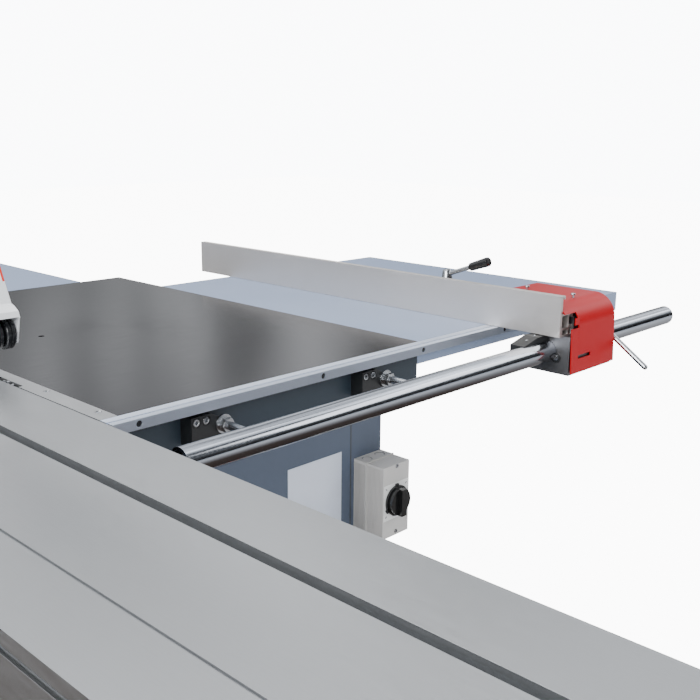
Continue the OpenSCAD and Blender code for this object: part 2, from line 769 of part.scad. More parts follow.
module swing_arm() {
  w = 4;
  color("#3c4650") difference() {
    union() {
      round_z([pivot_ax, 0, arm_z - arm_s / 2], arm_s, 28);
      box([pivot_ax - arm_l, -arm_s / 2, arm_z - arm_s / 2], [arm_l - 20, arm_s, arm_s]);
    }
    box([pivot_ax - arm_l - cut, -arm_s / 2 + w, arm_z - arm_s / 2 + w],
      [arm_l - 60, arm_s - 2 * w, arm_s - 2 * w]);
    round_z([pivot_ax, 0, arm_z - arm_s / 2 - cut], arm_s + 2 * cut, 12 + run);
  }
}
module arm_extension() {
  s = arm_s - 8 - 2 * seat;
  post_x = out_left + out_tube / 2;
  tip = table_h - out_tube - 0.5 - seat;
  color("#8a9098") {
    box([post_x - s / 2, -s / 2, arm_z - s / 2], [pivot_ax - 130 - post_x + s / 2, s, s]);
    round_z([post_x, 0, arm_z], tip - arm_z - 10, 16);
  }
  color("#202224") round_z([post_x, 0, tip - 12], 12, 19);
}

// SAW UNIT
led_in = 215;
led_out = 225;
slab = 12;
shoe_w = 24;
shoe_low = -1.5;
shoe_high = 80;
module mirror_y() { children(); mirror([0, 1, 0]) children(); }
module tilted(y0, l) { along_y(y0, l) translate([0, table_h]) children(); }
module trunnions() {
  y0 = end_y + slab + seat;
  color("#3c4650") mirror_y() {
    tilted(y0 + shoe_w + seat, slab) difference() {
      intersection() {
        sector(1, led_out + 30, 2, 86);
        translate([70, -led_out - 40]) square([240, led_out + 40 - cast_t]);
      }
      circle(120);
    }
    tilted(y0 + shoe_w / 2, shoe_w / 2 + seat + cut) arc(led_in, led_out, 8, 56);
    box([80, y0 + shoe_w + seat, table_h - cast_t - 12], [200, slab + 28, 12]);
  }
}
leg_x0 = 55;
leg_x1 = 95;
leg_low = 335;
guide_x = 75;
guide_y = 100;
lug_top = 60;
lug_low = 315;
lug_t = 15;
module tilt_frame() {
  y0 = end_y + slab + seat;
  color("#4a5560") difference() {
    mirror_y() {
      tilted(y0 - seat, seat + shoe_w) arc(led_in - 20, shoe_r, shoe_low, shoe_high);
      tilted(end_y, slab) {
        arc(led_in - 80, shoe_r, 14, shoe_high - 2);
        translate([leg_x0, -leg_low]) square([leg_x1 - leg_x0, leg_low - lug_top]);
        arc(led_in - 20, shoe_r, shoe_low, 20);
        translate([36, -80]) square([leg_x1 - 36, 40]);
      }
      box([guide_x - 13, guide_y - 16, table_h - lug_top - lug_t], [24, end_y - guide_y + 16 + cut, lug_t]);
      box([guide_x - 13, -cut, table_h - lug_low - lug_t], [24, end_y + 2 * cut, lug_t]);
    }
    mirror_y() tilted(y0 + shoe_w / 2 - seat, shoe_w) {
      arc(led_in - seat, led_out + seat, shoe_low - 20, shoe_high + 20);
    }
    for (y = [-guide_y, guide_y]) round_z([guide_x, y, table_h - leg_low], leg_low, guide_d / 2);
    round_y([rise_x, -end_y - slab - cut, table_h - rise_drop], slab + 2 * cut, shaft_r + run);
  }
}
module guide_rods() {
  color("#c9ccd0") for (y = [-guide_y, guide_y]) {
    round_z([guide_x, y, table_h - lug_low - lug_t], lug_low + lug_t - lug_top, guide_d / 2);
  }
}
pinion_r = 12.5;
rack_w = 20;
rack_y = -guide_y - 24 - rack_w;
house_r = 34;
house_x0 = 15;
house_x1 = 95;
boss_top = 90;
boss_low = 170;
motor_drop = 250;
plate_x = 134;
module rise_block() {
  color("#59636e") difference() {
    union() {
      round_x([house_x0, 0, arbor_z], house_x1 - house_x0, house_r);
      box([40, -house_r, table_h - boss_low], [48, 2 * house_r, boss_low - (table_h - arbor_z)]);
      box([62, -guide_y - 22, table_h - boss_low], [26, 2 * guide_y + 44, boss_low - boss_top]);
      for (y = [-guide_y, guide_y]) round_z([guide_x, y, table_h - boss_low], boss_low - boss_top, 18);
      for (y = [-guide_y - 22, guide_y + 2]) {
        box([87, y, table_h - boss_low], [plate_x - 87 + cut, 20, boss_low - boss_top]);
      }
      box([plate_x, -guide_y - 22, table_h - motor_drop - 60],
        [10, 2 * guide_y + 44, motor_drop - boss_top + 60]);
      box([house_x0, 90, arbor_z - 75], [73, 30, 50]);
      box([house_x0, 119, arbor_z - 75], [15, 76, 50]);
      box([knife_t / 2, 165, arbor_z - 70], [house_x0, 28, 40]);
      box([rise_x + pinion_r + seat, rack_y, table_h - rise_drop - 12],
        [10, rack_w, rise_drop + 12 - boss_top]);
      box([rise_x + pinion_r + seat, rack_y, table_h - boss_low],
        [10, -guide_y - 20 - rack_y, boss_low - boss_top]);
    }
    round_x([house_x0 - cut, 0, arbor_z], house_x1 - house_x0 + 2 * cut, bearing_d / 2);
    for (y = [-guide_y, guide_y]) {
      round_z([guide_x, y, table_h - boss_low - cut], boss_low, guide_d / 2 + run);
    }
    round_x([plate_x - cut, 0, table_h - motor_drop], 20, 20);
  }
}
module arbor_bearings() {
  color("#c9ccd0") for (x = [house_x0 + 3, house_x1 - 16]) difference() {
    round_x([x, 0, arbor_z], 13, bearing_d / 2);
    round_x([x - cut, 0, arbor_z], 15, arbor_d / 2 + run);
  }
}
pulley_x = 99;
pulley_w = 28;
arbor_pulley_r = 32;
motor_pulley_r = 45;
module pulley(x, z, r) {
  difference() {
    round_x([x, 0, z], pulley_w, r);
    for (i = [0:2]) translate([x + 7 + i * 7, 0, z]) rotate([0, 90, 0]) rotate_extrude() {
      translate([r - 3, -1.5]) square([4, 3]);
    }
  }
}
module arbor() {
  color("#c9ccd0") {
    round_x([-20, 0, arbor_z], pulley_x + pulley_w + 20, arbor_d / 2);
    round_x([kerf / 2, 0, arbor_z], 9, 30);
    pulley(pulley_x, arbor_z, arbor_pulley_r);
  }
}
module saw_blade() {
  r = blade_d / 2;
  teeth = 48;
  step = 360 / teeth;
  color("#aeb1b5") translate([-kerf / 2, 0, arbor_z]) rotate([90, 0, 90]) linear_extrude(kerf) difference() {
    polygon([for (i = [0:teeth - 1], k = [0:2])
      let (a = i * step + [0, 1.2, 2.4][k], q = [r, r - 1.5, r - 10][k]) [q * cos(a), q * sin(a)]]);
    circle(d = arbor_d + 2 * run);
  }
}
module arbor_nut() {
  color("#8f9296") difference() {
    union() {
      round_x([-kerf / 2 - 8, 0, arbor_z], 8, 24);
      translate([-kerf / 2 - 18, 0, arbor_z]) rotate([0, 90, 0]) cylinder(h = 10.5, r = 19, $fn = 6);
    }
    round_x([-30, 0, arbor_z], 40, arbor_d / 2 + run);
  }
}
belt_t = 4;
module belt_loop(extra) {
  hull() {
    translate([0, arbor_z]) circle(arbor_pulley_r + extra);
    translate([0, table_h - motor_drop]) circle(motor_pulley_r + extra);
  }
}
module drive_belt() {
  color("#141416") along_x(pulley_x + 4, pulley_w - 8) difference() {
    belt_loop(belt_t);
    belt_loop(seat);
  }
}
module motor() {
  x0 = plate_x + 10;
  z = table_h - motor_drop;
  r = motor_d / 2;
  color("#3f5f7f") difference() {
    union() {
      round_x([x0, 0, z], motor_l, r - 5);
      round_x([x0, 0, z], 12, r);
      round_x([x0 + motor_l - 36, 0, z], 36, r);
      for (i = [0:23]) translate([x0, 0, z]) rotate([i * 15, 0, 0]) {
        box([10, -1.5, r - 8], [motor_l - 44, 3, 8]);
      }
      box([x0 + 50, -45, z + r - 12], [90, 90, 40]);
    }
    round_x([x0 - cut, 0, z], 70, 12 + run);
  }
}
module motor_pulley() {
  z = table_h - motor_drop;
  color("#8f9296") {
    pulley(pulley_x, z, motor_pulley_r);
    round_x([pulley_x, 0, z], plate_x + 10 + 60 - pulley_x, 12);
  }
}
score_z = table_h + 2 - score_d / 2;
score_r = 10;
module scoring_arm() {
  color("#59636e") difference() {
    union() {
      round_x([12, -score_y, score_z], 48, 24);
      box([36, -end_y, score_z - 24], [24, end_y - score_y, 34]);
    }
    round_x([11, -score_y, score_z], 50, score_r + run);
  }
}
module scoring_blade() {
  r = score_d / 2;
  teeth = 24;
  color("#aeb1b5") {
    translate([-kerf / 2, -score_y, score_z]) rotate([90, 0, 90]) linear_extrude(kerf) {
      polygon([for (i = [0:teeth - 1], k = [0:2])
        let (a = i * 15 + [0, 2, 4][k], q = [r, r - 1, r - 5][k]) [q * cos(a), q * sin(a)]]);
    }
    round_x([-9, -score_y, score_z], 113, score_r);
    round_x([-kerf / 2 - 5, -score_y, score_z], 5 + kerf + 5, 18);
    round_x([90, -score_y, score_z], 14, 18);
  }
}
knife_t = 2.6;
knife_in = blade_d / 2 + 4.5;
knife_top = 218;
bolt_y = 166;
bolt_z = table_h + 55;
module riving_knife() {
  s0 = bolt_z - arbor_z - 6;
  color("#9da1a5") translate([-knife_t / 2, 0, arbor_z]) rotate([90, 0, 90]) linear_extrude(knife_t) {
    difference() {
      polygon([[140, -72], [193, -72], [202, 0], [188, knife_top], [145, knife_top]]);
      circle(knife_in);
      translate([bolt_y - 4.3, s0]) square([8.6, knife_top - 8 - s0]);
    }
  }
}
hood_top = table_h + 180;
hood_low = table_h + 47;
nose_z = table_h + 91;
nose_y = -196;
hood_front = -168;
hood_back = 238;
module hood_outline(e) {
  polygon([[-223 + e, nose_z], [-219 + e, nose_z + 9 - e], [-208 + e, nose_z + 15 - e],
    [-200 + e, nose_z + 17 - e], [-163 + e, hood_top - e], [196 - e, hood_top - e],
    [hood_back - e, hood_top - 70], [hood_back - e, hood_low], [hood_front + e, hood_low],
    [hood_front + e, nose_z]]);
}
module guard_hood() {
  w = hood_w / 2;
  z = table_h + roller_gap + roller_d / 2;
  color("#eef0f2") difference() {
    union() {
      along_x(-w, hood_w) hood_outline(0);
      for (x = [-w, w - hood_t]) along_x(x, hood_t) {
        polygon([[nose_y - 26.5, nose_z + 2], [hood_front + 1, nose_z + 2], [nose_y + 14, z - 12],
          [nose_y - 16, z - 12]]);
      }
    }
    along_x(-w + hood_t, hood_w - 2 * hood_t) {
      hood_outline(hood_t);
      translate([hood_front + hood_t, hood_low - 2]) square([hood_back - hood_front - 2 * hood_t, 60]);
      translate([-300, nose_z - 50]) square([300 + hood_front + hood_t, 51]);
    }
    round_x([-w - cut, nose_y, z], hood_w + 2 * cut, 4 + run);
    round_x([-w - cut, bolt_y, bolt_z], hood_w + 2 * cut, 4 + run);
  }
}
module guard_rollers() {
  z = table_h + roller_gap + roller_d / 2;
  w = hood_w / 2 - hood_t - 0.5;
  color("#141416") {
    for (x = [-w, 0.8]) round_x([x, nose_y, z], w - 0.8, roller_d / 2);
    round_x([-w - hood_t - 3, nose_y, z], 2 * w + 2 * hood_t + 6, 4);
  }
}
module guard_knob() {
  color("#141416") {
    round_x([-hood_w / 2 - 1, bolt_y, bolt_z], hood_w + 8, 4);
    round_x([-hood_w / 2 - 5, bolt_y, bolt_z], 4.7, 8);
    round_x([hood_w / 2 + seat, bolt_y, bolt_z], 8, 11);
    for (a = [0, 90]) translate([hood_w / 2 + seat, bolt_y, bolt_z]) rotate([a, 0, 0]) {
      box([0, -13, -4], [8, 26, 8]);
    }
  }
}
module handwheel() {
  r = wheel_d / 2;
  difference() {
    union() {
      rotate_extrude() translate([r - 9, 0]) circle(9);
      translate([0, 0, -6]) cylinder(h = 18, r = 18);
      for (a = [0, 120, 240]) rotate([0, 0, a]) box([10, -8, -4], [r - 20, 16, 8]);
      translate([r - 9, 0, 0]) cylinder(h = 26, r = 6);
      translate([r - 9, 0, 20]) cylinder(h = 50, r1 = 9, r2 = 12);
    }
  }
}
module rise_wheel() {
  color("#202224") {
    round_y([rise_x, -cab_front - 50, table_h - rise_drop], cab_front + 50 + rack_y + rack_w, shaft_r);
    round_y([rise_x, rack_y, table_h - rise_drop], rack_w, pinion_r);
    translate([rise_x, -cab_front - 45, table_h - rise_drop]) rotate([90, 0, 0]) {
      rotate([0, 0, 200]) handwheel();
    }
  }
}
module tilt_wheel() {
  color("#202224") {
    round_x([-60, tilt_y, tilt_z], cab_right + 60 + 50, shaft_r);
    round_x([-50, tilt_y, tilt_z], 120, worm_r);
    translate([cab_right + 40, tilt_y, tilt_z]) rotate([0, 90, 0]) rotate([0, 0, 60]) handwheel();
  }
}

// ELECTRICS
box_x = cab_right - box_w;
knob_z = box_top - box_h / 2;
knob_x = cab_right - box_w * 0.5;
groove_d = 1.6;
groove_w = 1.2;
groove_step = 2.8;
// Fine upright grooves in both sides of the switch box
module side_grooves(y0, n) {
  for (x = [box_x - cut, cab_right - groove_d], i = [0:n - 1]) {
    box([x, y0 + i * groove_step, box_top - box_h + 5], [cut + groove_d, groove_w, box_h - 10]);
  }
}
module switch_base() {
  l = box_d * 0.45;
  color("#c8c6c2") difference() {
    union() {
      box([box_x, -cab_front - l, box_top - box_h], [box_w, l, box_h]);
      box([box_x - 0.8, -cab_front - l, box_top - box_h - 0.8], [box_w + 1.6, 2.5, box_h + 1.6]);
    }
    side_grooves(-cab_front - l + 5, 8);
    for (x = [box_x + 17, box_x + box_w - 17]) round_z([x, -cab_front - l / 2 + 1, box_top - 0.8], 3, 9);
  }
}
module switch_lid() {
  y0 = -cab_front - box_d;
  color("#d4d2ce") difference() {
    box([box_x + 0.8, y0, box_top - box_h + 0.8], [box_w - 1.6, box_d * 0.55, box_h - 1.6]);
    side_grooves(y0 + 2, 12);
    round_y([knob_x, y0 - cut, knob_z], 21, 6 + run);
  }
}
module switch_knob() {
  y0 = -cab_front - box_d;
  color("#141416") {
    round_y([knob_x, y0 - 4 - seat, knob_z], 4, knob_d / 2);
    round_y([knob_x, y0 - 12, knob_z], 9, knob_d / 2 - 3);
    round_y([knob_x, y0 - 10, knob_z], 29, 6);
    box([knob_x - 6, y0 - 19, knob_z - knob_d / 2 + 3], [12, 8, knob_d - 6]);
  }
}
ctl_x = 330;
ctl_z = 400;
button_z = [ctl_z + 105, ctl_z + 45];
module control_box() {
  color("#c8c6c2") difference() {
    box([ctl_x, -cab_front - 50, ctl_z], [90, 50, 150]);
    for (z = button_z) round_y([ctl_x + 45, -cab_front - 50 - cut, z], 21, 11 + run);
  }
}
module start_button() {
  color("#1f8a3c") round_y([ctl_x + 45, -cab_front - 54, button_z[0]], 18, 11);
}
module stop_button() {
  color("#c41020") {
    round_y([ctl_x + 45, -cab_front - 56, button_z[1]], 20, 11);
    round_y([ctl_x + 45, -cab_front - 66, button_z[1]], 10, 20);
  }
}

cabinet_front();
cabinet_rear();
cabinet_sides();
cabinet_base();
levelling_feet();
service_door();
door_latch();
dust_outlet();
cast_table();
table_insert();
rear_table();
right_table();
table_struts();
front_rail();
socket_screws();
bar_brackets();
bar_studs();
fence_bar();
fence_head();
fence_cover();
bar_slider();
fence_profile();
fence_clamp();
bar_lever();
beam_mounts();
slide_beam();
ball_carriage();
sliding_carriage();
end_caps();
outrigger_frame();
crosscut_fence();
flip_stop();
arm_bracket();
swing_arm();
arm_extension();
trunnions();
tilt_frame();
guide_rods();
rise_block();
arbor_bearings();
arbor();
saw_blade();
arbor_nut();
drive_belt();
motor();
motor_pulley();
scoring_arm();
scoring_blade();
riving_knife();
guard_hood();
guard_rollers();
guard_knob();
rise_wheel();
tilt_wheel();
switch_base();
switch_lid();
switch_knob();
control_box();
start_button();
stop_button();
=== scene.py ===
import math

import bmesh
import bpy
from mathutils import Matrix, Vector


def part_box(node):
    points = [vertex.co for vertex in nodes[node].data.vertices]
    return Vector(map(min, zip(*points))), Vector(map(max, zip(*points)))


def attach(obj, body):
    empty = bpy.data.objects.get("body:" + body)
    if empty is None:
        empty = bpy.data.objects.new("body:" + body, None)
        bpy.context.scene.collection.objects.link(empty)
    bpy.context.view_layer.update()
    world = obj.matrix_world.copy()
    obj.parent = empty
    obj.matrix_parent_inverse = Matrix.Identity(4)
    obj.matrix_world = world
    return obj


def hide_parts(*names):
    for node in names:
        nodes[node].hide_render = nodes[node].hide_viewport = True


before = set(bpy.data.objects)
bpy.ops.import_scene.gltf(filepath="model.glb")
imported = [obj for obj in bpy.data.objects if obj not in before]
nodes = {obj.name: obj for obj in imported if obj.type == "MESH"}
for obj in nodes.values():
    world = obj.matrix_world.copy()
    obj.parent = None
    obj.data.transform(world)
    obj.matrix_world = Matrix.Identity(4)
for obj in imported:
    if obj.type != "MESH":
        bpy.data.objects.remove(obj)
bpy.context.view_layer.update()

mm = 0.001
toRight, toLeft, toFront, upward = (1, 0, 0), (-1, 0, 0), (0, -1, 0), (0, 0, 1)


# the low and high corners of a node at rest, in mm
def corners(name):
    return [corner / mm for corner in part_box(name)]


# Colours and nodes

# sRGB hex to linear RGBA
def linear(code):
    knee, slope, offset, gamma = 0.04045, 12.92, 0.055, 2.4
    parts = [int(code[i:i + 2], 16) / 255 for i in (0, 2, 4)]
    return tuple(c / slope if c <= knee else ((c + offset) / (1 + offset)) ** gamma for c in parts) + (1,)


def darker(colour, share):
    return tuple(c * (1 - share) for c in colour[:3]) + (1,)


def addNode(tree, kind, inputs=None, **props):
    node = tree.nodes.new("ShaderNode" + kind)
    for key, value in props.items():
        setattr(node, key, value)
    for key, value in (inputs or {}).items():
        if isinstance(value, bpy.types.NodeSocket):
            tree.links.new(value, node.inputs[key])
        else:
            node.inputs[key].default_value = value
    return node


def calculate(tree, operation, first, second):
    return addNode(tree, "Math", {0: first, 1: second}, operation=operation).outputs["Value"]


# the mix node's sockets for the first value, the second value and the result
mixSockets = {"FLOAT": (2, 3, 0), "RGBA": (6, 7, 2)}


def mix(tree, kind, factor, first, second):
    a, b, result = mixSockets[kind]
    return addNode(tree, "Mix", {0: factor, a: first, b: second}, data_type=kind).outputs[result]


def stretch(tree, place, scale):
    return addNode(tree, "Mapping", {"Vector": place, "Scale": scale}).outputs["Vector"]


def noise(tree, place, scale, detail=4, rough=0.55):
    return addNode(tree, "TexNoise", {
        "Vector": place, "Scale": scale, "Detail": detail, "Roughness": rough,
    }).outputs["Fac"]


# a value between fromLow and fromHigh, spread over low to high
def spread(tree, value, low, high, fromLow=0.3, fromHigh=0.7):
    return addNode(tree, "MapRange", {
        "Value": value, "From Min": fromLow, "From Max": fromHigh, "To Min": low, "To Max": high,
    }).outputs["Result"]


def startMaterial(name):
    material = bpy.data.materials.new(name)
    material.use_nodes = True
    tree = material.node_tree
    tree.nodes.clear()
    place = addNode(tree, "TexCoord").outputs["Object"]
    return material, tree, place


# the shader, with a fine relief and edges that look rounded by the radius edge
def endMaterial(tree, inputs, height, depth, edge):
    rounded = addNode(tree, "Bevel", {"Radius": edge * mm}, samples=4).outputs["Normal"]
    relief = addNode(tree, "Bump", {
        "Height": height, "Distance": depth * mm, "Strength": 1.0, "Normal": rounded,
    }).outputs["Normal"]
    shader = addNode(tree, "BsdfPrincipled", dict(inputs, Normal=relief))
    addNode(tree, "OutputMaterial", {"Surface": shader.outputs["BSDF"]})


# Materials: peel, grain and pitch are the width of the surface's relief in mm, depth its height in mm

def paint(name, code, rough=0.34, peel=6.0, depth=0.02, dust=0.06, coat=0.3, shine=0.5):
    material, tree, place = startMaterial(name)
    base = linear(code)
    glossier, duller = 0.04, 0.06
    cloud = noise(tree, place, scale=3.0, detail=3)
    skin = noise(tree, place, scale=1 / (peel * mm), detail=2)
    endMaterial(tree, {
        "Base Color": mix(tree, "RGBA", spread(tree, cloud, 0, 1), base, darker(base, dust)),
        "Roughness": spread(tree, cloud, rough - glossier, rough + duller),
        "Coat Weight": coat, "Coat Roughness": 0.25, "Specular IOR Level": shine,
    }, height=skin, depth=depth, edge=0.8)
    return material


def plastic(name, code, rough=0.45, grain=1.2, depth=0.03, coat=0.0):
    material, tree, place = startMaterial(name)
    base = linear(code)
    gain, lift = 1.12, 0.004
    glossier, duller = 0.05, 0.06
    pale = tuple(min(1, c * gain + lift) for c in base[:3]) + (1,)
    cloud, wear = noise(tree, place, scale=9.0), noise(tree, place, scale=60.0)
    skin = noise(tree, place, scale=1 / (grain * mm), detail=2)
    endMaterial(tree, {
        "Base Color": mix(tree, "RGBA", spread(tree, cloud, 0, 1), base, pale),
        "Roughness": spread(tree, wear, rough - glossier, rough + duller),
        "Coat Weight": coat, "Coat Roughness": 0.1,
    }, height=skin, depth=depth, edge=0.7)
    return material


# directions of the fine lines that grinding and brushing leave
alongX, alongY, barLines = (0.02, 1, 1), (1, 0.02, 1), (1, 0.05, 0.05)


def metal(name, code, rough=0.25, lines=(1, 1, 1), pitch=0.6, depth=0.01, cloudy=0.08, spin=0.0):
    material, tree, place = startMaterial(name)
    base = linear(code)
    glossier, duller, darkening = 0.05, 0.07, 2.2
    cloud = noise(tree, place, scale=4.0, detail=5, rough=0.6)
    grain = noise(tree, stretch(tree, place, lines), scale=1 / (pitch * mm), detail=3, rough=0.6)
    worn = spread(tree, grain, rough - glossier, rough + duller)
    stained = spread(tree, cloud, -0.03, 0.05)
    endMaterial(tree, {
        "Base Color": mix(tree, "RGBA", spread(tree, cloud, 0, 1), base, darker(base, darkening * cloudy)),
        "Metallic": 1.0, "Roughness": calculate(tree, "ADD", worn, stained), "Anisotropic": spin,
    }, height=grain, depth=depth, edge=0.5)
    return material


# a casting: painted below, ground along the table above the given height in mm
def groundCasting(name, iron, skin, height):
    material, tree, place = startMaterial(name)
    base = linear(iron)
    pitch, border, darkening = 0.8, 0.6, 0.26
    cloud = noise(tree, place, scale=4.0, detail=5, rough=0.6)
    grain = noise(tree, stretch(tree, place, alongX), scale=1 / (pitch * mm), detail=3, rough=0.6)
    level = addNode(tree, "SeparateXYZ", {"Vector": place}).outputs["Z"]
    ground = spread(tree, level, 0, 1, fromLow=height * mm, fromHigh=(height + border) * mm)
    bright = mix(tree, "RGBA", spread(tree, cloud, 0, 1), base, darker(base, darkening))
    polished = spread(tree, grain, 0.13, 0.2)
    painted = spread(tree, ground, 0.22, 0.0, fromLow=0, fromHigh=1)
    endMaterial(tree, {
        "Base Color": mix(tree, "RGBA", ground, linear(skin), bright), "Metallic": ground,
        "Roughness": calculate(tree, "ADD", polished, painted), "Anisotropic": 0.4,
    }, height=grain, depth=0.0045, edge=0.6)
    return material


cabinetPaint = paint("powderCoatBlueGrey", "586375", 0.36, coat=0.1)
tablePaint = paint("powderCoatPaleGrey", "93a4c2", 0.36, coat=0.12)
darkPaint = paint("enamelDarkGrey", "3c4650", 0.42)
machinePaint = paint("enamelOnCasting", "59636e", 0.45, peel=3.0, depth=0.12)
motorPaint = paint("enamelMotorBlue", "3f5f7f", 0.36)
blackPaint = paint("enamelBlackOnSteel", "1c1e20", 0.36)
redPaint = paint("powderCoatRed", "b4000e", 0.36, peel=5.0, depth=0.015, dust=0.05, coat=0.04, shine=0.22)
groundDepth = 4
groundFrom = corners("cast_table")[1].z - groundDepth
groundIron = groundCasting("castIronPaintedGroundTop", "464447", "2e3a45", groundFrom)
headIron = metal("castIronMachinedHead", "88888a", 0.42, pitch=1.6, depth=0.05, cloudy=0.14)
anodised = metal("aluminiumAnodisedExtrusion", "b6b8ba", 0.4, alongY, 0.7, 0.012, cloudy=0.03, spin=0.3)
fenceAlloy = metal("aluminiumBrushedFence", "ebe7e3", 0.46, alongY, 0.7, 0.015, cloudy=0.04, spin=0.3)
railAlloy = metal("aluminiumBrushedRail", "e2eaf8", 0.48, alongX, 0.7, 0.012, cloudy=0.04, spin=0.3)
crossAlloy = metal("aluminiumBrushedCrosscut", "cbc8c4", 0.36, alongX, 0.7, 0.015, cloudy=0.04, spin=0.3)
insertAlloy = metal("aluminiumMilledStrip", "cdcecf", 0.38, alongY, 0.9, 0.012, cloudy=0.03)
barSteel = metal("steelPolishedBar", "b6bbc4", 0.12, barLines, 0.9, 0.003, cloudy=0.04)
brightSteel = metal("steelZincPlated", "c3c6ca", 0.22, pitch=2.0, cloudy=0.05)
toolSteel = metal("steelGroundBlade", "a9acb0", 0.26, pitch=1.0, depth=0.008, cloudy=0.06)
carbide = metal("carbideGroundTip", "6f7276", 0.3, pitch=0.8, depth=0.008, cloudy=0.05)
cageBrass = metal("brassRolledCage", "b08d57", 0.35, alongY, 1.2)
hoodPlastic = plastic("absWhiteMouldedHood", "eceef0", 0.3, grain=2.0, depth=0.01, coat=0.3)
blackPlastic = plastic("nylonBlackMoulded", "1d1f21", 0.42)
gripPlastic = plastic("phenolicBlackGrip", "121314", 0.2, grain=2.0, depth=0.006, coat=0.4)
blackRubber = plastic("rubberBlackMoulded", "17181a", 0.62, grain=1.0, depth=0.05)
rollerRubber = plastic("polyurethaneBlackRoller", "1b1d21", 0.3, grain=1.0, depth=0.012, coat=0.3)
switchPlastic = plastic("polycarbonateLightGrey", "c4c2bf", 0.4, grain=1.0, depth=0.02)
dialPlastic = plastic("polycarbonateWhiteDial", "e9e9e7", 0.35, grain=1.0, depth=0.01)
plateWhite = plastic("vinylWhitePlate", "dbe2f0", 0.35, grain=3.0, depth=0.004, coat=0.2)
inkGrey = plastic("printedGreyLine", "4a4e54", 0.5, grain=1.0, depth=0.002)
redEdge = plastic("tapeRedEdge", "e0301c", 0.4, grain=1.0, depth=0.005)
buttonGreen = plastic("polyamideGreenButton", "1f8a3c", 0.3, grain=1.5, depth=0.01, coat=0.3)
buttonRed = plastic("polyamideRedButton", "c41020", 0.3, grain=1.5, depth=0.01, coat=0.3)

finishes = {
    cabinetPaint: "cabinet_front cabinet_rear cabinet_sides cabinet_base service_door",
    tablePaint: "right_table rear_table outrigger_frame",
    darkPaint: "table_struts beam_mounts arm_bracket swing_arm arm_extension trunnions",
    machinePaint: "tilt_frame rise_block scoring_arm",
    motorPaint: "motor",
    blackPaint: "bar_brackets",
    redPaint: "fence_cover",
    groundIron: "cast_table",
    headIron: "fence_head motor_pulley",
    anodised: "sliding_carriage slide_beam",
    fenceAlloy: "fence_profile",
    railAlloy: "front_rail",
    crossAlloy: "crosscut_fence",
    insertAlloy: "table_insert",
    barSteel: "fence_bar riving_knife",
    brightSteel: "socket_screws bar_studs fence_clamp bar_lever guide_rods arbor arbor_nut arbor_bearings",
    toolSteel: "saw_blade scoring_blade",
    cageBrass: "ball_carriage",
    hoodPlastic: "guard_hood",
    blackPlastic: "levelling_feet door_latch dust_outlet bar_slider end_caps flip_stop guard_knob"
                  " rise_wheel tilt_wheel",
    gripPlastic: "switch_knob",
    blackRubber: "drive_belt guard_rollers",
    switchPlastic: "switch_base switch_lid control_box",
    buttonGreen: "start_button",
    buttonRed: "stop_button",
}
for material, names in finishes.items():
    for name in names.split():
        nodes[name].data.materials.clear()
        nodes[name].data.materials.append(material)
print("materials set")


# Pieces, all drawn in mm

def meshObject(name, mesh, material):
    data = bpy.data.meshes.new(name)
    mesh.to_mesh(data)
    mesh.free()
    data.materials.append(material)
    made = bpy.data.objects.new(name, data)
    bpy.context.scene.collection.objects.link(made)
    return made


def finishPiece(name, mesh, material, body):
    bmesh.ops.recalc_face_normals(mesh, faces=mesh.faces)
    sharpFrom = math.radians(30)
    for edge in mesh.edges:
        edge.smooth = len(edge.link_faces) == 2 and edge.calc_face_angle(0) < sharpFrom
    for face in mesh.faces:
        face.smooth = True
    piece = meshObject(name, mesh, material)
    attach(piece, body)
    return piece


def addBox(mesh, low, high, bevel=0.0):
    verts = bmesh.ops.create_cube(mesh, size=1)["verts"]
    low, high = Vector(low) * mm, Vector(high) * mm
    bmesh.ops.scale(mesh, vec=high - low, verts=verts)
    bmesh.ops.translate(mesh, vec=(low + high) / 2, verts=verts)
    if bevel:
        edges = {edge for vert in verts for edge in vert.link_edges}
        bmesh.ops.bevel(mesh, geom=list(edges), offset=bevel * mm, segments=2, affect="EDGES", profile=0.5)


# a profile of (distance along the axis, radius), spun about the axis from start
def turned(mesh, profile, start, axis, steps=40):
    axis = Vector(axis).normalized()
    side = axis.orthogonal().normalized()
    start = Vector(start) * mm
    verts = [mesh.verts.new(start + axis * (d * mm) + side * (r * mm)) for d, r in profile]
    edges = [mesh.edges.new((a, b)) for a, b in zip(verts, verts[1:])]
    bmesh.ops.spin(
        mesh, geom=verts + edges, cent=start, axis=axis, angle=math.tau, steps=steps,
        use_merge=True, use_duplicate=False,
    )
    bmesh.ops.remove_doubles(mesh, verts=mesh.verts, dist=0.001 * mm)


# a round pin with flat ends
def pin(length, radius):
    return [(0, 0), (0, radius), (length, radius), (length, 0)]


# a closed outline of points, pushed along the vector push
def extruded(mesh, outline, push):
    face = mesh.faces.new([mesh.verts.new(Vector(point) * mm) for point in outline])
    moved = bmesh.ops.extrude_face_region(mesh, geom=[face])
    verts = [item for item in moved["geom"] if isinstance(item, bmesh.types.BMVert)]
    bmesh.ops.translate(mesh, vec=Vector(push) * mm, verts=verts)


# a pan head with a rounded rim and a sunk drive
def screwHead(mesh, at, axis, radius, height):
    turned(mesh, [
        (0, 0), (0, radius * 0.96), (height * 0.12, radius), (height * 0.62, radius * 0.94),
        (height * 0.9, radius * 0.74), (height, radius * 0.5), (height * 0.45, radius * 0.48),
        (height * 0.42, 0),
    ], at, axis, 24)


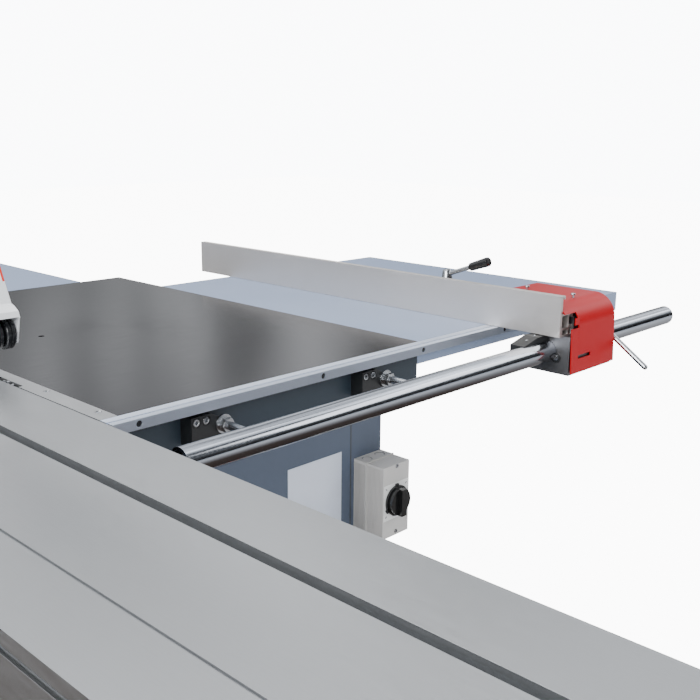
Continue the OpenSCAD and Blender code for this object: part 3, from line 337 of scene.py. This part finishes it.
# guard hood: a red line along the front and top edge of each side, also up the slanted front
# the outlines are (y, z)
hood = {
    "outer": [(-200, 957), (-163, 1030), (196, 1030)],
    "inner": [(-196.4, 957), (-161, 1026.8), (196, 1026.8)],
    "stripTop": (-163.2, 1029.7), "width": 3.2, "proud": 0.25,
}
outer, inner, proud = hood["outer"], hood["inner"], hood["proud"]
(lowY, lowZ), (highY, highZ) = outer[0], hood["stripTop"]
slope = (Vector(outer[1]) - Vector(outer[0])).normalized()
low, high = corners("guard_hood")
for label, side, x in (("Left", -1, low.x), ("Right", 1, high.x)):
    mesh = bmesh.new()
    for k in range(len(outer) - 1):
        ends = (outer[k], outer[k + 1], inner[k + 1], inner[k])
        extruded(mesh, [(x, y, z) for y, z in ends], (side * proud, 0, 0))
    inside = x - side * hood["width"]
    strip = [(x, lowY, lowZ), (x, highY, highZ), (inside, highY, highZ), (inside, lowY, lowZ)]
    extruded(mesh, strip, (0, -slope.y * proud, slope.x * proud))
    finishPiece(f"hoodLine{label}", mesh, redEdge, "guard")

# guard rollers: two tyres with a groove, on a shaft with a collar at each end
roller = {
    "y": -196, "z": 916, "starts": (-17, 0.8), "radius": 22, "bore": 4.05, "width": 16.2,
    "cheekStep": 5, "shoulderStep": 1.2, "shoulderAt": 1.5, "treadAt": 2.8,
    "groove": (6.6, 9.5), "grooveSide": 0.5, "grooveDepth": 1.6,
}
tread, bore, width = roller["radius"], roller["bore"], roller["width"]
cheek, shoulder = tread - roller["cheekStep"], tread - roller["shoulderStep"]
shoulderAt, treadAt = roller["shoulderAt"], roller["treadAt"]
(left, right), inwards, dip = roller["groove"], roller["grooveSide"], tread - roller["grooveDepth"]
tyre = [
    (0, bore), (0, cheek), (shoulderAt, shoulder), (treadAt, tread),
    (left, tread), (left + inwards, dip), (right - inwards, dip), (right, tread),
    (width - treadAt, tread), (width - shoulderAt, shoulder), (width, cheek), (width, bore), (0, bore),
]
mesh = bmesh.new()
for start in roller["starts"]:
    turned(mesh, tyre, (start, roller["y"], roller["z"]), toRight, 64)
piece = finishPiece("guardRollers", mesh, rollerRubber, "rollers")
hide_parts("guard_rollers")

shaft = {"length": 45, "profile": [
    (0, 0), (0, 4), (0.5, 4.6), (2.6, 4.6), (3, 4), (41.5, 4), (42, 4.6), (44.5, 4.6), (45, 4), (45, 0),
]}
mesh = bmesh.new()
turned(mesh, shaft["profile"], (-shaft["length"] / 2, roller["y"], roller["z"]), toRight, 24)
finishPiece("rollerShaft", mesh, brightSteel, "rollers")
print("guard done")

# fence clamp: a turned hub on its stem, with a rod and a moulded grip
clamp = {
    "y": -304, "rodAt": 918, "rod": (62, 4.4), "rise": math.radians(20), "gripAt": 60, "stem": (26, 5),
    "hub": [(26, 13), (27, 13.4), (32, 13.2), (66, 9), (69, 8), (70.7, 6.4), (71, 0)],
    "grip": [(0, 4.5), (0, 7.2), (1.2, 8), (10, 8.4), (40, 9.3), (44, 8.8), (46, 6.5), (46.2, 0)],
}
low, high = corners("fence_clamp")
x, y = (low.x + high.x) / 2, clamp["y"]
along = Vector((0, -math.cos(clamp["rise"]), math.sin(clamp["rise"])))
rodStart = Vector((x, y, clamp["rodAt"]))
mesh = bmesh.new()
turned(mesh, pin(*clamp["stem"])[:3] + clamp["hub"], (x, y, low.z), upward)
turned(mesh, pin(*clamp["rod"]), rodStart, along, 24)
piece = finishPiece("clampHub", mesh, brightSteel, "clamp_handle")
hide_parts("fence_clamp")
mesh = bmesh.new()
turned(mesh, clamp["grip"], rodStart + along * clamp["gripAt"], along, 32)
finishPiece("clampGrip", mesh, gripPlastic, "clamp_handle")

# fence cover: two screws down through its top and two in its right side
cover = {
    "topScrews": ((886, -480), (878, -581)), "sideScrews": ((-592, 815), (-470, 885)),
    "sunk": 0.2, "shaft": (5, 2.2), "radius": 4.4, "topHead": 3.6, "sideHead": 3.4,
}
high = corners("fence_cover")[1]
top = high.z - cover["sunk"]
mesh = bmesh.new()
for x, y in cover["topScrews"]:
    turned(mesh, pin(*cover["shaft"]), (x, y, top), upward, 16)
    screwHead(mesh, (x, y, top + cover["shaft"][0]), upward, cover["radius"], cover["topHead"])
for y, z in cover["sideScrews"]:
    screwHead(mesh, (high.x, y, z), toRight, cover["radius"], cover["sideHead"])
finishPiece("coverScrews", mesh, brightSteel, "fence_carrier")

# fence head: a black ring with a bright plug on its left face, and two small screws on the slider block
head = {
    "y": -590, "z": 810, "ring": [(0, 5.4), (0, 9), (2.2, 9), (2.8, 8.4), (2.8, 5.4), (0, 5.4)],
    "plug": [(0, 0), (0, 5.4), (1.6, 5.4), (2.0, 4.8), (2.0, 0)],
    "screws": ((790, 849), (766, 844.3)), "screwsY": -562, "screw": (2.2, 1.5),
}
leftFace = (corners("fence_head")[0].x, head["y"], head["z"])
mesh = bmesh.new()
turned(mesh, head["ring"], leftFace, toLeft, 32)
finishPiece("headRing", mesh, blackPaint, "fence_carrier")
mesh = bmesh.new()
turned(mesh, head["plug"], leftFace, toLeft, 32)
for x, z in head["screws"]:
    screwHead(mesh, (x, head["screwsY"], z), upward, *head["screw"])
finishPiece("headScrews", mesh, brightSteel, "fence_carrier")

# front rail: dark wells of its socket screws
wells = {"x": (38, 358, 590, 823, 1055), "y": -476, "z": 842.7, "disc": (0.3, 4.2)}
mesh = bmesh.new()
for x in wells["x"]:
    turned(mesh, pin(*wells["disc"]), (x, wells["y"], wells["z"]), toFront, 24)
finishPiece("railSocketWells", mesh, blackPaint, "machine")
print("fence done")

# round bar: a plug sunk in the open end
plug = {"x": 42, "y": -571, "z": 819, "profile": [(0, 0), (0, 12), (1, 14.6), (4, 14.6), (4, 0)]}
mesh = bmesh.new()
turned(mesh, plug["profile"], (plug["x"], plug["y"], plug["z"]), toRight)
finishPiece("barPlug", mesh, blackPlastic, "machine")

# cabinet front: panel seam and a bare plate
panel = {
    "seamX": 471, "seamZ": (60, 812), "seamHalf": 1.4, "proud": 0.25, "sunk": 0.2,
    "plateX": (331, 449), "plateZ": (556, 688), "plateThick": 0.7, "plateEdge": 0.3,
}
face = corners("cabinet_front")[0].y
x, half, (bottom, top) = panel["seamX"], panel["seamHalf"], panel["seamZ"]
mesh = bmesh.new()
addBox(mesh, (x - half, face - panel["proud"], bottom), (x + half, face + panel["sunk"], top))
finishPiece("panelSeam", mesh, inkGrey, "machine")
(left, right), (bottom, top) = panel["plateX"], panel["plateZ"]
mesh = bmesh.new()
addBox(mesh, (left, face - panel["plateThick"], bottom), (right, face, top), panel["plateEdge"])
finishPiece("barePlate", mesh, plateWhite, "machine")

# main switch: a white dial plate at the middle of the lid's front
low, high = corners("switch_lid")
middle, lidTop = Vector(((low.x + high.x) / 2, low.y, (low.z + high.z) / 2)), high.z
dial = {"half": Vector((30, 0, 31)), "thick": Vector((0, 0.25, 0))}
mesh = bmesh.new()
addBox(mesh, middle - dial["half"] - dial["thick"], middle + dial["half"])
finishPiece("switchDial", mesh, dialPlastic, "machine")


# short bars that point away from the knob's axis, one at each angle
def barsRound(centre, angles, half, inner, outer, proud, deep):
    mesh = bmesh.new()
    for angle in angles:
        turn = Matrix.Rotation(math.radians(angle), 3, "Y")
        ends = ((-half, inner), (half, inner), (half, outer), (-half, outer))
        extruded(mesh, [centre + turn @ Vector((x, -proud, z)) for x, z in ends], (0, -deep, 0))
    return mesh


# plain ticks on the dial plate, and the lugs of the knob
ticks = {"angles": (45, 135, 225, 315), "half": 0.7, "inner": 32, "outer": 36, "proud": 0.2, "deep": 0.25}
lugs = {"angles": (0, 120, 240), "half": 3, "inner": 21, "outer": 29, "proud": 0.6, "deep": 3}
finishPiece("dialTicks", barsRound(middle, **ticks), inkGrey, "machine")
finishPiece("knobLugs", barsRound(middle, **lugs), blackPlastic, "main_knob")

# lid screws: two pan heads with a deep drive, one above and one below the knob
lidScrew = {
    "right": 1, "above": (-55.3, 59),
    "profile": [(0, 0), (0, 3.3), (0.5, 3.5), (1.1, 3.1), (1.1, 1.7), (0.3, 1.6), (0.3, 0)],
}
mesh = bmesh.new()
for above in lidScrew["above"]:
    turned(mesh, lidScrew["profile"], middle + Vector((lidScrew["right"], 0, above)), toFront, 24)
finishPiece("lidScrews", mesh, brightSteel, "machine")

# knock-outs: a thin ring in each recess of the switch's top, whose floor is level with the lid's top
knockOut = {"x": (496, 527), "y": -440.6, "ring": [(0, 7.7), (0, 8.8), (0.2, 8.8), (0.2, 7.7), (0, 7.7)]}
mesh = bmesh.new()
for x in knockOut["x"]:
    turned(mesh, knockOut["ring"], (x, knockOut["y"], lidTop), upward, 32)
finishPiece("knockOutRings", mesh, inkGrey, "machine")
print("electrics done")

# main blade: brazed carbide tips, each a small block just inside the rim
blade = {"teeth": 48, "tip": (3.4, 2.0, 5.0), "ahead": 1.4, "inside": 3.2}
low, high = corners("saw_blade")
centre = Matrix.Translation((0, 0, (low.z + high.z) / 2 * mm))
reach = (high.z - low.z) / 2 - blade["inside"]
mesh = bmesh.new()
for k in range(blade["teeth"]):
    made = bmesh.ops.create_cube(mesh, size=1)["verts"]
    bmesh.ops.scale(mesh, vec=Vector(blade["tip"]) * mm, verts=made)
    bmesh.ops.translate(mesh, vec=Vector((0, blade["ahead"], reach)) * mm, verts=made)
    spin = Matrix.Rotation(math.tau * k / blade["teeth"] - math.pi / 2, 4, "X")
    bmesh.ops.transform(mesh, matrix=centre @ spin, verts=made)
finishPiece("bladeTips", mesh, carbide, "main_shaft")

# handwheels: plated hub caps
hubCap = [(0, 0), (0, 11), (1.5, 11.6), (3.5, 10.2), (5, 6), (5.6, 0)]
handwheels = {
    "heightHubCap": ("height_wheel", (75, -484, 550), toFront),
    "angleHubCap": ("angle_wheel", (596, -294, 593.5), toRight),
}
for name, (body, centre, axis) in handwheels.items():
    mesh = bmesh.new()
    turned(mesh, hubCap, centre, axis, 32)
    finishPiece(name, mesh, brightSteel, body)

# screws of the carriage's front end cap
capScrew = {"x": (-300, -240, -150, -90), "y": -1289.5, "z": 822, "radius": 4.2, "height": 2.6}
mesh = bmesh.new()
for x in capScrew["x"]:
    screwHead(mesh, (x, capScrew["y"], capScrew["z"]), toFront, capScrew["radius"], capScrew["height"])
finishPiece("capScrews", mesh, brightSteel, "carriage")

# motor: screws in the corners of the terminal box
terminal = {"x": (200, 278), "y": (-39, 39), "radius": 3.4, "height": 2.2}
top = corners("motor")[1].z
mesh = bmesh.new()
for x in terminal["x"]:
    for y in terminal["y"]:
        screwHead(mesh, (x, y, top), upward, terminal["radius"], terminal["height"])
finishPiece("terminalScrews", mesh, brightSteel, "rising")
print("pieces done")


# Stage, in metres

# a pale floor that shines white to the camera, except in the contact shade under the saw
# polished faces see it brown near the saw: a painted reflection of the shaded floor around the saw
stage = {
    "half": 14, "rough": 0.8, "shadeReach": 0.8, "shadeGlow": 0.3, "glow": 10,
    "shadeReflectionTo": 1.6, "paleFrom": 5.0,
}
material, tree, place = startMaterial("studioFloorPaint")
path = addNode(tree, "LightPath")
away = addNode(tree, "VectorMath", {0: place}, operation="LENGTH").outputs["Value"]
# painted reflection: glossy rays see the floor brown near the saw, fading to pale further away
shadeReflectionFade = spread(tree, away, 1, 0, fromLow=stage["shadeReflectionTo"], fromHigh=stage["paleFrom"])
shadeReflectionMask = calculate(tree, "MULTIPLY", path.outputs["Is Glossy Ray"], shadeReflectionFade)
shade = addNode(tree, "AmbientOcclusion", {"Distance": stage["shadeReach"]}).outputs["AO"]
glow = spread(tree, shade, stage["shadeGlow"], stage["glow"], fromLow=0.4, fromHigh=1)
shader = addNode(tree, "BsdfPrincipled", {
    "Base Color": mix(tree, "RGBA", shadeReflectionMask, linear("f2f2f2"), linear("3a2b21")), "Roughness": stage["rough"],
    "Emission Color": linear("ffffff"),
    "Emission Strength": calculate(tree, "MULTIPLY", path.outputs["Is Camera Ray"], glow),
})
addNode(tree, "OutputMaterial", {"Surface": shader.outputs["BSDF"]})
mesh = bmesh.new()
bmesh.ops.create_grid(mesh, x_segments=1, y_segments=1, size=stage["half"])
floor = meshObject("studioFloor", mesh, material)

# a soft sky, dim at the horizon, brightest just above it and a little dimmer overhead
world = bpy.data.worlds.new("studioLight")
world.use_nodes = True
tree = world.node_tree
tree.nodes.clear()
path = addNode(tree, "LightPath")
look = addNode(tree, "TexCoord").outputs["Generated"]
axes = addNode(tree, "SeparateXYZ", {"Vector": look}).outputs
fromHorizon = spread(tree, axes["Z"], 0.3, 1.25, fromLow=0.0, fromHigh=0.3)
towardsTop = spread(tree, axes["Z"], 0.0, -0.35, fromLow=0.35, fromHigh=0.8)
sky = calculate(tree, "ADD", fromHorizon, towardsTop)

# polished faces see a room instead: dark in front, a bright strip overhead, dimmer behind
# it is dark near the horizon and has upright streaks
front = spread(tree, axes["Y"], 0.15, 2.2, fromLow=-0.42, fromHigh=-0.2)
behind = spread(tree, axes["Y"], 1.0, 0.42, fromLow=-0.12, fromHigh=0.2)
haze = spread(tree, axes["Z"], 0.3, 1.0, fromLow=0.08, fromHigh=0.36)
upright = noise(tree, stretch(tree, look, (2.6, 2.6, 0.2)), scale=4.4, detail=2, rough=0.4)
streaks = spread(tree, upright, 0.3, 1.8, fromLow=0.36, fromHigh=0.64)
room = sky
for share in (streaks, haze, front, behind):
    room = calculate(tree, "MULTIPLY", room, share)

# the camera sees white
cameraWhite = 11.0
seen = mix(tree, "FLOAT", path.outputs["Is Glossy Ray"], sky, room)
lit = mix(tree, "FLOAT", path.outputs["Is Camera Ray"], seen, cameraWhite)
back = addNode(tree, "Background", {"Color": linear("f8fbff"), "Strength": lit})
addNode(tree, "OutputWorld", {"Surface": back.outputs["Background"]})
bpy.context.scene.world = world


# a rectangular lamp that faces its target
def softBox(name, at, target, size, watts):
    data = bpy.data.lights.new(name, "AREA")
    data.shape = "RECTANGLE"
    data.size, data.size_y = size
    data.energy = watts
    lamp = bpy.data.objects.new(name, data)
    lamp.location = at
    lamp.rotation_euler = (Vector(target) - Vector(at)).to_track_quat("-Z", "Y").to_euler()
    bpy.context.scene.collection.objects.link(lamp)


softBoxes = {
    "keySoftBox": {"at": (-3.4, -1.0, 2.5), "target": (0.5, -0.2, 0.8), "size": (2.6, 1.8), "watts": 185},
    "topSoftBox": {"at": (0.4, 0.6, 4.2), "target": (0.3, 0.2, 0.8), "size": (3.0, 3.0), "watts": 70},
    "rimSoftBox": {"at": (3.4, -2.6, 2.8), "target": (0.4, 0.0, 0.8), "size": (2.0, 1.4), "watts": 30},
}
for name, settings in softBoxes.items():
    softBox(name, **settings)

# the photograph's camera: a lens in mm on a 36 mm sensor, at a place in metres, turned in degrees
lens = {
    "at": (-0.5778, -1.4278, 1.21), "tilt": 76.2053, "roll": -0.5188, "heading": -46.1044,
    "focal": 48.05, "sensor": 36, "nearest": 0.02,
}
cameraData = bpy.data.cameras.new("photoCamera")
cameraData.lens = lens["focal"]
cameraData.sensor_width = lens["sensor"]
cameraData.clip_start = lens["nearest"]
camera = bpy.data.objects.new("photoCamera", cameraData)
camera.location = lens["at"]
camera.rotation_euler = [math.radians(lens[key]) for key in ("tilt", "roll", "heading")]
bpy.context.scene.collection.objects.link(camera)
bpy.context.scene.camera = camera
print("stage done")
